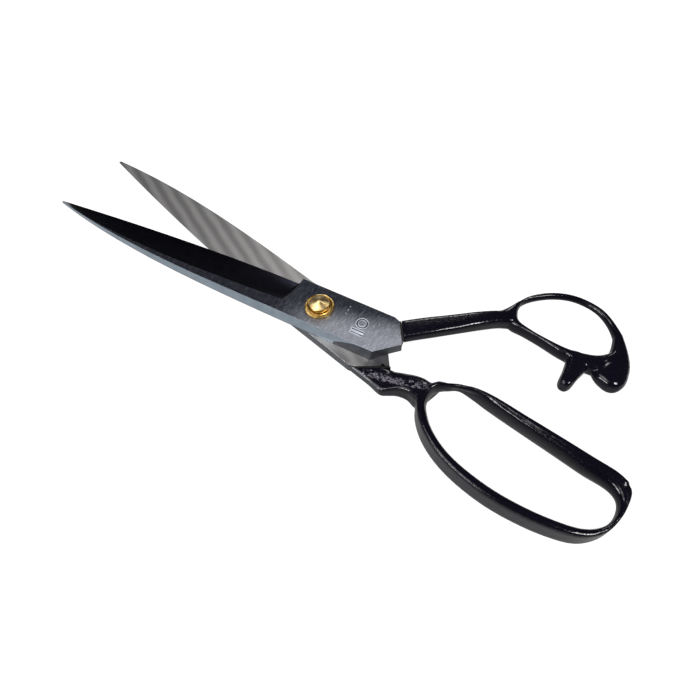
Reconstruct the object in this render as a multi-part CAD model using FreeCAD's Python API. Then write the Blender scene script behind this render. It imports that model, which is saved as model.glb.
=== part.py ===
import FreeCAD, Part
import math
import os
from FreeCAD import Vector

# Tailor's fabric shears, lying on a table with the thumb half uppermost.
# Millimetres.  The origin is on the table, on the pivot axis.  +X runs from the
# pivot to the handles, +Y towards the thumb ring, +Z up.  The two halves stand
# OPEN_ANGLE apart at rest; each blade is drawn along -X and then turned.

OPEN_ANGLE = 14.7          # between the two blades at rest, degrees
MEETING_Z = 6.0            # plane in which the two blades slide on each other
BLADE_GAP = 0.1            # clearance between the blades' ground inner faces
BLADE_THICK = 4.75         # forging thickness at the pivot
BLADE_LENGTH = 143.4       # pivot axis to tip
TIP_THICK = 1.2            # forging thickness at the tip
EDGE_THICK = 0.35          # flat left along the cutting edge
SPINE_LEAN = 1.25          # how far the slanted back leans in over the thickness
RICASSO_X = -15.5          # where the bevel stops in front of the pivot
RICASSO_EDGE_Y = 10.2      # edge side of the unground block
SPINE_Y = -10.6            # back of the blade beside the pivot
HEEL_X = 38.8              # arrow point at the heel
HEEL_Y = -0.6

PIVOT_RADIUS = 3.0         # bolt shank
RUNNING_FIT = 0.05         # radial clearance of the thumb blade on the shank
SQUARE_NECK = 7.0          # square under the bolt's head, across flats
SQUARE_FIT = 0.05          # clearance on each flat of the neck
NECK_HEIGHT = 3.0
HEAD_RADIUS = 6.8
HEAD_CHAMFER = 0.5
THREAD_RADIUS = 2.9
THREAD_FIT = 0.05

THREAD_END_GAP = 0.1       # left between the thread's end and the blind nut

WASHER_RADIUS = 6.2        # dished brass washer
WASHER_LIFT = 0.05         # its rim stands just clear of the blade
WASHER_DISH = 0.4          # thickness of its floor
RIM_HEIGHT = 1.3
RIM_WIDTH = 1.2
RIM_CHAMFER = 0.5
RIM_SLOPE = 0.5            # the rim's inner side leans out by this much
SPRING_RADIUS = 5.0        # conical spring washer under the brass one
SPRING_THICK = 0.4
SPRING_RISE = 0.35
WASHER_FIT = 0.3           # radial clearance of both washers on the bolt
NUT_RADIUS = 4.2
NUT_SIDE_HEIGHT = 2.9      # above the blade, where the cone starts
NUT_APEX_HEIGHT = 4.8

BRAZE = 0.6                # brazed seam between blade and handle

BOW_HEIGHT = 11.2          # finger bow, from the table up
BOW_END_DROP = 1.5         # its top falls by this much at the round end
RING_LOW = 0.6             # underside of the thumb ring
RING_HIGH = 8.4
SHANK_TOP = 11.2           # thumb shank where it leaves the blade
SHANK_FALL = 1.0           # the shank's top falls by this much on its way to the ring
RAMP_START_X = 40.5        # no handle crosses the meeting plane nearer than this
BOW_INNER_ROUND = 3.0      # the bow's inner side is bellied, its outer wall flat
RING_ROUND = 1.3
LEVEL = 0.01               # an edge with less rise than this is level

THUMB_JOINT_X = 30.0       # start of the joint face on the thumb blade's edge side
FINGER_JOINT_X = 25.5      # the same on the finger blade, cut at a flatter angle
JOINT_CORNER_X = 2.5       # the joint face starts this far behind the corner of the block
JOINT_CORNER_Y = 1.0       # and this far in from its edge side
HEEL_SLOPE_X = 9.8         # length of the slanted side from the back to the arrow point
HEEL_LEAN = 0.5            # the arrow point leans in by this much at the top
THUMB_SHARE = 0.72         # the shank covers this much of the thumb blade's joint face
NECK_CORNER = (41.8, 9.9)  # the finger handle's neck runs flush with the blade to here
PRONG_RADIUS = 2.7         # rounded tip of the stop prong under the ring
PRONG_TIP = (98.6, 30.2)   # centre of that round

BLADE_LOW = MEETING_Z + BLADE_GAP / 2
BLADE_TOP = BLADE_LOW + BLADE_THICK
NECK_TOP = MEETING_Z - BLADE_GAP / 2
HEAD_TOP = NECK_TOP - BLADE_THICK
UP = Vector(0, 0, 1)
CENTRE = Vector(0, 0, 0)


def spline(points, closed=False):
    """A smooth edge through plan points."""
    curve = Part.BSplineCurve()
    curve.interpolate([Vector(x, y, 0) for x, y in points], PeriodicFlag=closed)
    return curve.toShape()


def line(start, end):
    return Part.makeLine(Vector(*start, 0), Vector(*end, 0))


def polygon(points, z):
    corners = [Vector(x, y, z) for x, y in points]
    return Part.makePolygon(corners + corners[:1])


def prism(edges, low, high):
    """A plan outline raised from low to high."""
    face = Part.Face(Part.Wire(edges))
    face.translate(Vector(0, 0, low))
    return face.extrude(Vector(0, 0, high - low))


def round_hole(solid, radius):
    """Round the level edges of the hole through a ring."""
    rims = [e for e in solid.Edges if e.BoundBox.ZLength < LEVEL and e.isClosed()]
    return solid.makeFillet(radius, rims)


def side_profile(points, y_min, y_max):
    """A solid with the given x-z outline, running along Y."""
    corners = [Vector(x, y_min, z) for x, z in points]
    face = Part.Face(Part.makePolygon(corners + corners[:1]))
    return face.extrude(Vector(0, y_max - y_min, 0))


def revolved(points):
    """A solid of revolution about the pivot from radius-height points."""
    corners = [Vector(r, 0, z) for r, z in points]
    face = Part.Face(Part.makePolygon(corners + corners[:1]))
    return face.revolve(CENTRE, UP, 360)


def edge_y(x):
    """Cutting edge: gently bellied from the ricasso to the tip."""
    t = min(max((RICASSO_X - x) / (BLADE_LENGTH + RICASSO_X), 0.0), 1.0)
    return 9.9 - 9.2 * t ** 1.6


def spine_y(x):
    """Back: straight past the pivot, then curving in to the tip."""
    t = min(max(-x / BLADE_LENGTH, 0.0), 1.0)
    return SPINE_Y + 10.1 * t ** 3.1


def thickness(x):
    """Distal taper of the forging."""
    t = min(max((RICASSO_X - x) / (BLADE_LENGTH + RICASSO_X), 0.0), 1.0)
    return BLADE_THICK + (TIP_THICK - BLADE_THICK) * t ** 1.15


def ridge_y(x):
    """Top of the bevel: it runs out into the back before the tip."""
    t = min(max((RICASSO_X - x) / (BLADE_LENGTH + RICASSO_X), 0.0), 1.0)
    lean = SPINE_LEAN * thickness(x) / BLADE_THICK
    inside = 5.7 * (1 - t) ** 1.3
    return spine_y(x) + lean + max(inside, 0.25)


def blade_section(x):
    """Closed section of the ground blade, standing across X on the plane z = 0."""
    lean = SPINE_LEAN * thickness(x) / BLADE_THICK
    top = thickness(x)
    corners = [
        Vector(x, edge_y(x), 0),
        Vector(x, spine_y(x), 0),
        Vector(x, spine_y(x) + lean, top),
        Vector(x, ridge_y(x), top),
        Vector(x, edge_y(x), EDGE_THICK),
    ]
    return Part.makePolygon(corners + corners[:1])


def ground_blade():
    stations = 12
    span = BLADE_LENGTH + RICASSO_X
    sections = [blade_section(RICASSO_X - span * i / stations) for i in range(stations + 1)]
    return Part.makeLoft(sections, True, True)


def forging_block(joint_start_x):
    """Unground block round the pivot; its heel is cut to an arrow point."""
    front = RICASSO_X - 1
    low = [
        (front, spine_y(front)),
        (HEEL_X - HEEL_SLOPE_X, SPINE_Y),
        (HEEL_X, HEEL_Y),
        (joint_start_x + JOINT_CORNER_X, RICASSO_EDGE_Y - JOINT_CORNER_Y),
        (joint_start_x, RICASSO_EDGE_Y),
        (RICASSO_X + 1, RICASSO_EDGE_Y),
        (front, edge_y(front)),
    ]
    high = list(low)
    high[0] = (front, spine_y(front) + SPINE_LEAN)
    high[1] = (HEEL_X - HEEL_SLOPE_X, SPINE_Y + SPINE_LEAN)
    high[2] = (HEEL_X - HEEL_LEAN, HEEL_Y)
    return Part.makeLoft([polygon(low, 0), polygon(high, BLADE_THICK)], True, True)


def drawn_blade(joint_start_x):
    """Thumb-side blade with its inner face on z = 0 and its edge towards +Y."""
    return ground_blade().fuse(forging_block(joint_start_x)).removeSplitter()


def as_thumb_half(shape):
    """Turn to the thumb half's place."""
    shape.rotate(CENTRE, UP, OPEN_ANGLE / 2)
    shape.translate(Vector(0, 0, BLADE_LOW))
    return shape


def as_finger_half(shape):
    """The same blade turned over by half a turn about X, then put in place."""
    shape.rotate(CENTRE, Vector(1, 0, 0), 180)
    shape.rotate(CENTRE, UP, -OPEN_ANGLE / 2)
    shape.translate(Vector(0, 0, NECK_TOP))
    return shape


def plan_point(x, y, side):
    """A blade-frame plan point in the assembly; side is 1 for thumb, -1 for finger."""
    turn = math.radians(OPEN_ANGLE / 2)
    across = y * side
    return (
        x * math.cos(turn) - side * across * math.sin(turn),
        side * x * math.sin(turn) + across * math.cos(turn),
    )


def thumb_blade():
    low = Vector(0, 0, -BLADE_THICK)
    bore = Part.makeCylinder(PIVOT_RADIUS + RUNNING_FIT, 3 * BLADE_THICK, low)
    return as_thumb_half(drawn_blade(THUMB_JOINT_X).cut(bore))


def finger_blade():
    hole = SQUARE_NECK + 2 * SQUARE_FIT
    corner = Vector(-hole / 2, -hole / 2, -BLADE_THICK)
    square = Part.makeBox(hole, hole, 3 * BLADE_THICK, corner)
    return as_finger_half(drawn_blade(FINGER_JOINT_X).cut(square))


def joint_face(joint_start_x, side):
    """Plan ends of the slanted heel face that the handle is brazed to."""
    start = plan_point(joint_start_x + JOINT_CORNER_X, RICASSO_EDGE_Y - JOINT_CORNER_Y, side)
    end = plan_point(HEEL_X, HEEL_Y, side)
    return start, end


def between(start, end, share):
    return tuple(a + (b - a) * share for a, b in zip(start, end))


def shifted(point, start, end, distance, side):
    """Move a plan point away from the blade, square to the joint face."""
    length = math.dist(start, end)
    nx = -(end[1] - start[1]) / length * side
    ny = (end[0] - start[0]) / length * side
    return (point[0] + nx * distance, point[1] + ny * distance)


def seam(joint_start_x, side, first, last, low, high):
    """Thin brazed layer on the heel face, over the handle's share of it."""
    start, end = joint_face(joint_start_x, side)
    near_a = between(start, end, first)
    near_b = between(start, end, last)
    far_b = shifted(near_b, start, end, BRAZE, side)
    far_a = shifted(near_a, start, end, BRAZE, side)
    corners = [near_a, near_b, far_b, far_a]
    edges = [line(corners[i], corners[(i + 1) % 4]) for i in range(4)]
    return prism(edges, low, high)


def shank_corners():
    """The shank's plan corners: upper and lower at the blade, upper and lower at the ring."""
    start, end = joint_face(THUMB_JOINT_X, 1)
    upper = shifted(start, start, end, BRAZE, 1)
    lower = shifted(between(start, end, THUMB_SHARE), start, end, BRAZE, 1)
    return upper, lower, (60.4, 43.0), (65.2, 37.6)


def thumb_handle_plan():
    """Outline: shank, ring, tail lobe and the stop prong."""
    upper, lower, ring_start, ring_end = shank_corners()
    ring = [
        ring_start, (64.1, 47.4), (66.0, 54.2), (69.8, 60.4), (75.8, 65.6), (82.4, 69.4),
        (89.8, 71.0), (97.2, 69.9), (104.2, 66.2), (110.8, 60.4), (115.6, 53.4), (118.0, 45.4),
        (116.9, 39.2), (113.4, 36.6), (109.2, 36.8), (105.4, 38.6), (102.0, 37.6),
    ]
    underside = [(93.2, 36.9), (90.2, 39.8), (82.0, 41.0), (74.6, 41.6), (69.2, 40.8), ring_end]
    right = (PRONG_TIP[0] + PRONG_RADIUS, PRONG_TIP[1])
    left = (PRONG_TIP[0] - PRONG_RADIUS, PRONG_TIP[1])
    foot = Vector(PRONG_TIP[0], PRONG_TIP[1] - PRONG_RADIUS, 0)
    tip = Part.Arc(Vector(*right, 0), foot, Vector(*left, 0)).toShape()
    return [
        line(upper, ring_start),
        spline(ring),
        line(ring[-1], right),
        tip,
        line(left, underside[0]),
        spline(underside),
        line(ring_end, lower),
        line(lower, upper),
    ]


THUMB_HOLE = [
    (67.4, 53.8), (67.2, 50.2), (69.6, 46.4), (74.2, 44.4), (80.5, 43.8), (87.5, 44.0),
    (94.4, 45.0), (100.8, 47.0), (105.6, 50.4), (107.4, 55.2), (105.8, 61.0), (101.6, 65.4),
    (95.0, 68.2), (88.6, 69.0), (81.8, 67.6), (75.4, 64.0), (70.2, 58.8),
]


def thumb_shank():
    """Bar from the blade's heel down to the ring's level."""
    upper, lower, ring_start, ring_end = shank_corners()
    bar = Part.Face(polygon([upper, ring_start, ring_end, lower], 0)).extrude(Vector(0, 0, SHANK_TOP))
    above = [(20, SHANK_TOP), (20, BLADE_LOW), (RAMP_START_X, BLADE_LOW), (62, RING_LOW)]
    below = [(75, RING_LOW), (75, RING_HIGH - SHANK_FALL), (56, SHANK_TOP - SHANK_FALL), (40, SHANK_TOP)]
    return bar.common(side_profile(above + below, -10, 90))


def thumb_handle():
    plan = prism(thumb_handle_plan(), RING_LOW, RING_HIGH)
    hole = prism([spline(THUMB_HOLE, True)], 0, 2 * BOW_HEIGHT)
    ring = round_hole(plan.cut(hole), RING_ROUND)
    beyond_blade = side_profile([
        (RAMP_START_X, BLADE_LOW), (62, RING_LOW), (125, RING_LOW),
        (125, RING_HIGH), (RAMP_START_X, RING_HIGH),
    ], -10, 90)
    return ring.common(beyond_blade).fuse(thumb_shank()).removeSplitter()


BOW_HOLE = [
    (58.9, -7.4), (59.6, -3.4), (62.6, -0.2), (68.0, 0.9), (76.0, 0.8), (90.0, -0.1),
    (108.0, -1.5), (122.0, -3.0), (130.0, -5.4), (133.2, -10.6), (132.4, -15.8), (128.0, -20.6),
    (120.2, -23.8), (109.6, -25.8), (98.0, -26.7), (85.8, -26.1), (75.4, -23.9), (66.0, -18.6),
    (60.8, -12.8),
]


def finger_handle_plan():
    """Outline: neck, long straight upper bar, round end and curved lower band."""
    start, end = joint_face(FINGER_JOINT_X, -1)
    lower = shifted(start, start, end, BRAZE, -1)
    upper = shifted(end, start, end, BRAZE, -1)
    corner = plan_point(*NECK_CORNER, -1)
    neck = [upper, (44.6, -4.1), (51.1, -2.5), (59.0, -0.6), (66.4, 1.9), (71.6, 3.2), (77.0, 3.5)]
    end_round = [(129.4, 1.6), (134.0, 0.8), (136.5, -3.4), (136.3, -9.6), (134.4, -16.8), (129.6, -23.4)]
    band = [
        end_round[-1], (120.4, -28.1), (108.2, -30.6), (96.0, -31.4), (83.4, -30.2), (73.0, -27.4),
        (63.4, -22.6), (58.0, -17.5), (55.0, -13.4), (52.2, -11.1), (48.8, -10.6), (45.2, -12.0),
    ]
    return [
        spline(neck),
        line(neck[-1], end_round[0]),
        spline(end_round),
        spline(band),
        line(band[-1], corner),
        line(corner, lower),
        line(lower, upper),
    ]


def finger_handle():
    hole = prism([spline(BOW_HOLE, True)], -1, BOW_HEIGHT + 1)
    bow = round_hole(prism(finger_handle_plan(), 0, BOW_HEIGHT).cut(hole), BOW_INNER_ROUND)
    underneath = [(20, HEAD_TOP), (44, HEAD_TOP), (58, 0), (140, 0)]
    above = [
        (140, BOW_HEIGHT - BOW_END_DROP), (122, BOW_HEIGHT), (57, BOW_HEIGHT),
        (RAMP_START_X, NECK_TOP), (20, NECK_TOP),
    ]
    return bow.common(side_profile(underneath + above, -50, 20)).removeSplitter()


def pivot_bolt():
    """Flat head, square neck keyed in the finger blade, round shank, thread."""
    head = revolved([
        (0, 0), (HEAD_RADIUS - HEAD_CHAMFER, 0), (HEAD_RADIUS, HEAD_CHAMFER),
        (HEAD_RADIUS, HEAD_TOP), (0, HEAD_TOP),
    ])
    corner = Vector(-SQUARE_NECK / 2, -SQUARE_NECK / 2, HEAD_TOP)
    neck = Part.makeBox(SQUARE_NECK, SQUARE_NECK, NECK_HEIGHT, corner)
    neck.rotate(CENTRE, UP, -OPEN_ANGLE / 2)
    shank = Part.makeCylinder(PIVOT_RADIUS, BLADE_TOP - HEAD_TOP, Vector(0, 0, HEAD_TOP))
    thread_height = NUT_SIDE_HEIGHT - THREAD_END_GAP
    thread = Part.makeCylinder(THREAD_RADIUS, thread_height, Vector(0, 0, BLADE_TOP))
    return head.fuse([neck, shank, thread]).removeSplitter()


def spring_washer():
    """Thin steel cone that keeps the blades pressed together."""
    bore = PIVOT_RADIUS + WASHER_FIT
    return revolved([
        (bore, BLADE_TOP + SPRING_RISE), (SPRING_RADIUS, BLADE_TOP),
        (SPRING_RADIUS, BLADE_TOP + SPRING_THICK), (bore, BLADE_TOP + SPRING_RISE + SPRING_THICK),
    ])


def dished_washer():
    """Brass washer with a turned-up rim, standing on the spring washer."""
    low = BLADE_TOP + WASHER_LIFT
    high = low + RIM_HEIGHT
    floor = BLADE_TOP + SPRING_RISE + SPRING_THICK
    bore = PIVOT_RADIUS + WASHER_FIT
    rim = WASHER_RADIUS - RIM_WIDTH
    return revolved([
        (bore, floor), (rim, floor), (SPRING_RADIUS + WASHER_LIFT, low), (WASHER_RADIUS, low),
        (WASHER_RADIUS, high - RIM_CHAMFER), (WASHER_RADIUS - RIM_CHAMFER, high),
        (rim + RIM_SLOPE, high), (rim, floor + WASHER_DISH), (bore, floor + WASHER_DISH),
    ])


def cone_nut():
    """Turned brass nut, blind, with a shallow pointed crown."""
    floor = BLADE_TOP + SPRING_RISE + SPRING_THICK + WASHER_DISH
    side = BLADE_TOP + NUT_SIDE_HEIGHT
    bore = THREAD_RADIUS + THREAD_FIT
    return revolved([
        (bore, floor), (NUT_RADIUS, floor), (NUT_RADIUS, side),
        (0, BLADE_TOP + NUT_APEX_HEIGHT), (0, side), (bore, side),
    ])


parts = {
    "thumb_blade": thumb_blade(),
    "finger_blade": finger_blade(),
    "thumb_braze": seam(THUMB_JOINT_X, 1, 0, THUMB_SHARE, BLADE_LOW, BLADE_TOP),
    "finger_braze": seam(FINGER_JOINT_X, -1, 0, 1, HEAD_TOP, NECK_TOP),
    "thumb_handle": thumb_handle(),
    "finger_handle": finger_handle(),
    "pivot_bolt": pivot_bolt(),
    "spring_washer": spring_washer(),
    "dished_washer": dished_washer(),
    "cone_nut": cone_nut(),
}

os.makedirs("parts", exist_ok=True)
for name, shape in parts.items():
    shape.exportStep(f"parts/{name}.step")
    print(name, "valid", shape.isValid(), "solids", len(shape.Solids), "volume", round(shape.Volume))
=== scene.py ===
# %% [markdown]
# # Tailor's fabric shears
#
# A pair of long shears lying open on a table: two forged blades with cast, black
# enamelled handles, turning on one brass-nutted bolt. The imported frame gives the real
# sizes and says which piece belongs to which half. This lesson rebuilds the visible
# surfaces round that frame. First come the tools that later cells share.

# %% Load the frame
import math

import bmesh
import bpy
from mathutils import Matrix, Vector


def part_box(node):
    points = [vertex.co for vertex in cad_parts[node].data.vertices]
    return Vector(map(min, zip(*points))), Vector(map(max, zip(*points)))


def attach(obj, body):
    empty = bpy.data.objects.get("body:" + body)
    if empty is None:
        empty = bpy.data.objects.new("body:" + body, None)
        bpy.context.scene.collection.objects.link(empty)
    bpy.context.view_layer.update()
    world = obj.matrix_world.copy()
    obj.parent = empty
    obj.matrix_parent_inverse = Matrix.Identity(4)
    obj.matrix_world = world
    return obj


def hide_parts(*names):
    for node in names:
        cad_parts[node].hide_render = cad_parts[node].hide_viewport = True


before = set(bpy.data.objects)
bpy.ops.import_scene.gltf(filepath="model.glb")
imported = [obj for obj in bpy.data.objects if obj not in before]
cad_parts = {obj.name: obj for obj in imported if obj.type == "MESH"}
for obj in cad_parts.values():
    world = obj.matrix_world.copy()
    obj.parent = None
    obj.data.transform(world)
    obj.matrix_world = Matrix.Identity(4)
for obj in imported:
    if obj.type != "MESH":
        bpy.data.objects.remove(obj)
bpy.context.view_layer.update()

MM = 0.001

# %% [markdown]
# ## Where the two halves stand
#
# Both blades are drawn in one private frame: the pivot at the origin, the tip along -X,
# the cutting edge on the +Y side and the ground inner face on z = 0. One matrix then
# turns that drawing into the thumb half, and another turns it over into the finger half.
# Real blades are made the same way: two of one forging, one of them turned over.

# %% Matrices for the two halves
HALF_ANGLE = math.radians(7.35)      # each blade's lean from the middle line
thumb_face_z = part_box("thumb_blade")[0].z
finger_face_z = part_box("finger_blade")[1].z
THUMB_PLACE = (
    Matrix.Translation((0, 0, thumb_face_z))
    @ Matrix.Rotation(HALF_ANGLE, 4, "Z")
    @ Matrix.Scale(MM, 4)
)
FINGER_PLACE = (
    Matrix.Translation((0, 0, finger_face_z))
    @ Matrix.Rotation(-HALF_ANGLE, 4, "Z")
    @ Matrix.Rotation(math.pi, 4, "X")
    @ Matrix.Scale(MM, 4)
)
ROW_PLACE = Matrix.Scale(MM, 4)      # pieces drawn straight in the shared frame
print("gap between the inner faces in mm:", round((thumb_face_z - finger_face_z) / MM, 3))

# %% [markdown]
# ## Camera
#
# The shears are seen from above the finger bow, about 57 degrees down, from close by,
# so the blades run away and shrink a little. The camera is a plain pinhole: its place,
# the point it looks at and the lens are all that is needed.

# %% Camera
LOOK_AT = Vector((20.8, -7.4, 6.0)) * MM
CAMERA_AT = Vector((96.2, -113.6, 206.6)) * MM
SENSOR_WIDTH = 36.0       # millimetres, like the focal length
FOCAL_LENGTH = 30.24
NEAREST = 10 * MM         # nothing closer than this is drawn
camera_data = bpy.data.cameras.new("camera")
camera_data.sensor_width = SENSOR_WIDTH
camera_data.lens = FOCAL_LENGTH
camera_data.clip_start = NEAREST
camera = bpy.data.objects.new("camera", camera_data)
camera.location = CAMERA_AT
camera.rotation_mode = "QUATERNION"
camera.rotation_quaternion = (LOOK_AT - CAMERA_AT).to_track_quat("-Z", "Y")
bpy.context.scene.collection.objects.link(camera)
bpy.context.scene.camera = camera
print("camera height above the table in mm:", round(CAMERA_AT.z / MM))

# %% [markdown]
# ## Shader sums as Python
#
# A node tree is easier to read as a sum. This small class wraps a socket, and the
# operators add Math nodes, so `1 - mask * 0.5` builds what it says. Every other node
# comes from `make`, which sets the node's options first and its sockets second.

# %% A socket that can be used in a sum
MIX_FACTOR, MIX_FIRST, MIX_SECOND = 0, 6, 7      # the Mix node's sockets for colours
MIX_COLOUR_OUT = 2


class Wire:
    """A node socket that Python operators can combine."""

    def __init__(self, tree, socket):
        self.tree = tree
        self.socket = socket

    def make(self, kind, settings, sockets, out=0):
        node = self.tree.nodes.new(kind)
        for name, value in settings.items():
            setattr(node, name, value)
        for key, value in sockets.items():
            if isinstance(value, Wire):
                self.tree.links.new(value.socket, node.inputs[key])
            else:
                node.inputs[key].default_value = value
        return Wire(self.tree, node.outputs[out])

    def math(self, operation, first, second=0.0):
        return self.make("ShaderNodeMath", {"operation": operation}, {0: first, 1: second})

    def __add__(self, other):
        return self.math("ADD", self, other)

    __radd__ = __add__

    def __sub__(self, other):
        return self.math("SUBTRACT", self, other)

    def __rsub__(self, other):
        return self.math("SUBTRACT", other, self)

    def __mul__(self, other):
        return self.math("MULTIPLY", self, other)

    __rmul__ = __mul__

    def __pow__(self, other):
        return self.math("POWER", self, other)

    def sine(self):
        return self.math("SINE", self)

    def size(self):
        """The value without its sign."""
        return self.math("ABSOLUTE", self)

    def ramp(self, low, high):
        """0 below low, 1 above high, smooth between."""
        return self.make(
            "ShaderNodeMapRange", {"interpolation_type": "SMOOTHSTEP"},
            {"Value": self, "From Min": low, "From Max": high},
        )

    def blend(self, first, second):
        """Colour first where this is 0, second where it is 1."""
        return self.make(
            "ShaderNodeMix", {"data_type": "RGBA"},
            {MIX_FACTOR: self, MIX_FIRST: first, MIX_SECOND: second}, out=MIX_COLOUR_OUT,
        )

    def noise(self, scale, detail=2.0, roughness=0.5, distortion=0.0):
        return self.make(
            "ShaderNodeTexNoise", {},
            {"Vector": self, "Scale": scale, "Detail": detail, "Roughness": roughness,
             "Distortion": distortion},
        )

    def turned(self, angle, stretch=(1.0, 1.0, 1.0)):
        """These coordinates turned about Z by -angle, then stretched."""
        facing = self.make(
            "ShaderNodeVectorRotate", {"rotation_type": "Z_AXIS"},
            {"Vector": self, "Angle": -angle},
        )
        return self.make(
            "ShaderNodeMapping", {"vector_type": "POINT"},
            {"Vector": facing, "Scale": stretch},
        )

    def part(self, axis):
        return self.make("ShaderNodeSeparateXYZ", {}, {"Vector": self}, out="XYZ".index(axis))

# %% Starting and wiring a material
def finish_named(name):
    """A new material: its shader node and a wire of object coordinates."""
    material = bpy.data.materials.new(name)
    material.use_nodes = True
    tree = material.node_tree
    shader = tree.nodes["Principled BSDF"]
    coords = tree.nodes.new("ShaderNodeTexCoord")
    return material, shader, Wire(tree, coords.outputs["Object"])


def plug(wire, shader, socket):
    wire.tree.links.new(wire.socket, shader.inputs[socket])


def bump(height, strength, distance, shader):
    """Feed a height pattern to the shader's Normal through one Bump node."""
    normal = height.make(
        "ShaderNodeBump", {},
        {"Strength": strength, "Distance": distance, "Height": height},
    )
    plug(normal, shader, "Normal")

# %% [markdown]
# ## Helpers for metal pieces
#
# A forging is drawn as rows of points. Each row is made from the row before it by the
# extrude operator, which joins the two with faces, and then its vertices are put in
# place. Two caps close the ends. It is how a sculptor pulls a bar out of clay, one
# section after another.

# %% Extruding a bar row by row
def new_row(bm, points):
    """First row: a closed loop of vertices and edges."""
    verts = [bm.verts.new(p) for p in points]
    edges = [bm.edges.new((a, b)) for a, b in zip(verts, verts[1:] + verts[:1])]
    return verts, edges


def next_row(bm, row, points):
    """Extrude the last row and put the new vertices on points."""
    verts, edges = row
    made = bmesh.ops.extrude_edge_only(bm, edges=edges)["geom"]
    fresh = {v for v in made if isinstance(v, bmesh.types.BMVert)}
    ordered = [
        next(e.other_vert(v) for e in v.link_edges if e.other_vert(v) in fresh)
        for v in verts
    ]
    for vert, point in zip(ordered, points):
        vert.co = point
    loops = [bm.edges.get((a, b)) for a, b in zip(ordered, ordered[1:] + ordered[:1])]
    return ordered, loops


def close_cap(bm, row):
    """A face over an end, kept as one polygon."""
    bmesh.ops.contextual_create(bm, geom=row[1])

# %% Finishing a piece
EASE_SEGMENTS = 2
EASE_FROM_ANGLE = 0.5     # radians between two faces


def new_piece(name, bm, place, materials, body, replaced):
    """Turn a bmesh into a finished piece that rides on a body."""
    bmesh.ops.transform(bm, matrix=place, verts=bm.verts)
    bmesh.ops.recalc_face_normals(bm, faces=bm.faces)
    mesh = bpy.data.meshes.new(name)
    bm.to_mesh(mesh)
    bm.free()
    for material in materials:
        mesh.materials.append(material)
    piece = bpy.data.objects.new(name, mesh)
    bpy.context.scene.collection.objects.link(piece)
    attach(piece, body)
    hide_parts(replaced)
    print(name, len(mesh.polygons), "faces")
    return piece


def sharpen(bm, angle):
    """Smooth faces, with a hard edge wherever they meet at more than angle."""
    for face in bm.faces:
        face.smooth = True
    for edge in bm.edges:
        edge.smooth = not (len(edge.link_faces) == 2 and edge.calc_face_angle(0.0) > angle)


def ease(piece, width):
    """A narrow bevel on hard edges, so that they catch the light."""
    modifier = piece.modifiers.new("eased edges", "BEVEL")
    modifier.width = width * MM
    modifier.segments = EASE_SEGMENTS
    modifier.limit_method = "ANGLE"
    modifier.angle_limit = EASE_FROM_ANGLE
    modifier.harden_normals = True

# %% [markdown]
# ## The blade forging
#
# On the real shears the blade starts as a forged bar. The smith leaves it thick round
# the pivot, tapers it to the tip, grinds the inner face flat, and hollow-grinds a bevel
# on the outside down to the cutting edge. The back is slanted, so that a bright narrow
# strip runs along it. The widths below are functions of the distance from the pivot, and
# the bevel is a row of points on a shallow hollow. Drawing it in rows keeps the ridge,
# the strip and the edge as true lines, which a sculpted mesh would lose.

# %% Blade sizes, in millimetres
TIP_X = -143.4            # pivot to tip
GRIND_END_X = -15.5       # where the bevel runs out against the thick block
BLOCK_THICK = 4.75
TIP_THICK = 1.2
EDGE_Y = 9.9              # cutting edge at the end of the grind
EDGE_DROP = 9.2           # how far it comes in towards the tip
BACK_Y = -10.6
BACK_RISE = 10.1          # how far the back comes in towards the tip
BACK_LEAN = 1.25
RIDGE_WIDTH = 5.7         # from the back to the ridge at the end of the grind
RIDGE_LEAST = 0.12
EDGE_FLAT = 0.3
HOLLOW = 0.55             # depth of the hollow in the bevel
BEVEL_POINTS = 9


def along(x):
    """0 at the end of the grind, 1 at the tip."""
    return min(max((GRIND_END_X - x) / (GRIND_END_X - TIP_X), 0.0), 1.0)


def thickness(x):
    return BLOCK_THICK + (TIP_THICK - BLOCK_THICK) * along(x) ** 1.15


def edge_y(x):
    return EDGE_Y - EDGE_DROP * along(x) ** 1.6


def back_y(x):
    return BACK_Y + BACK_RISE * min(max(x / TIP_X, 0.0), 1.0) ** 3.1


def back_top_y(x):
    return back_y(x) + BACK_LEAN * thickness(x) / BLOCK_THICK


def ridge_y(x):
    return back_top_y(x) + max(RIDGE_WIDTH * (1 - along(x)) ** 1.3, RIDGE_LEAST)


print("blade thickness half way:", round(thickness(TIP_X / 2), 2), "mm")

# %% One section of a blade
BACK_POINTS = 2           # back corner and ridge, before the bevel points
FACET_FROM, FACET_TO = 6.0, 23.0     # where the bright strip on the back runs out
FACET_LOW, FACET_RISE = 0.05, 0.9    # height of the line under it, as a share


def closed_section(top, bottom_back, facet_share):
    """One closed row: the top points, the same points on z = 0, and one on the back."""
    bottom = [Vector((p.x, p.y, 0)) for p in reversed(top)]
    bottom[-1] = bottom_back
    return top + bottom + [bottom_back.lerp(top[0], facet_share)]


def bevel_share(i):
    """How far top point i lies from the ridge (0) to the cutting edge (1)."""
    return max(i - BACK_POINTS + 1, 0) / BEVEL_POINTS


def bevel_top(x, slip=0.0):
    """Top points of the ground blade at x; slip pushes the bevel points back in x."""
    top = thickness(x)
    points = [Vector((x, back_top_y(x), top))]
    for i in range(1, BACK_POINTS + BEVEL_POINTS):
        share = bevel_share(i)
        dip = HOLLOW * top / BLOCK_THICK * math.sin(math.pi * share) ** 0.8
        y = ridge_y(x) + (edge_y(x) - ridge_y(x)) * share
        points.append(Vector((x - slip * share, y, top + (EDGE_FLAT - top) * share - dip)))
    return points


def facet_share(x):
    """Height of the line under the bright strip, as a share of the back."""
    t = min(max((x - FACET_FROM) / (FACET_TO - FACET_FROM), 0.0), 1.0)
    return FACET_LOW + FACET_RISE * t * t * (3 - 2 * t)


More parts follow.
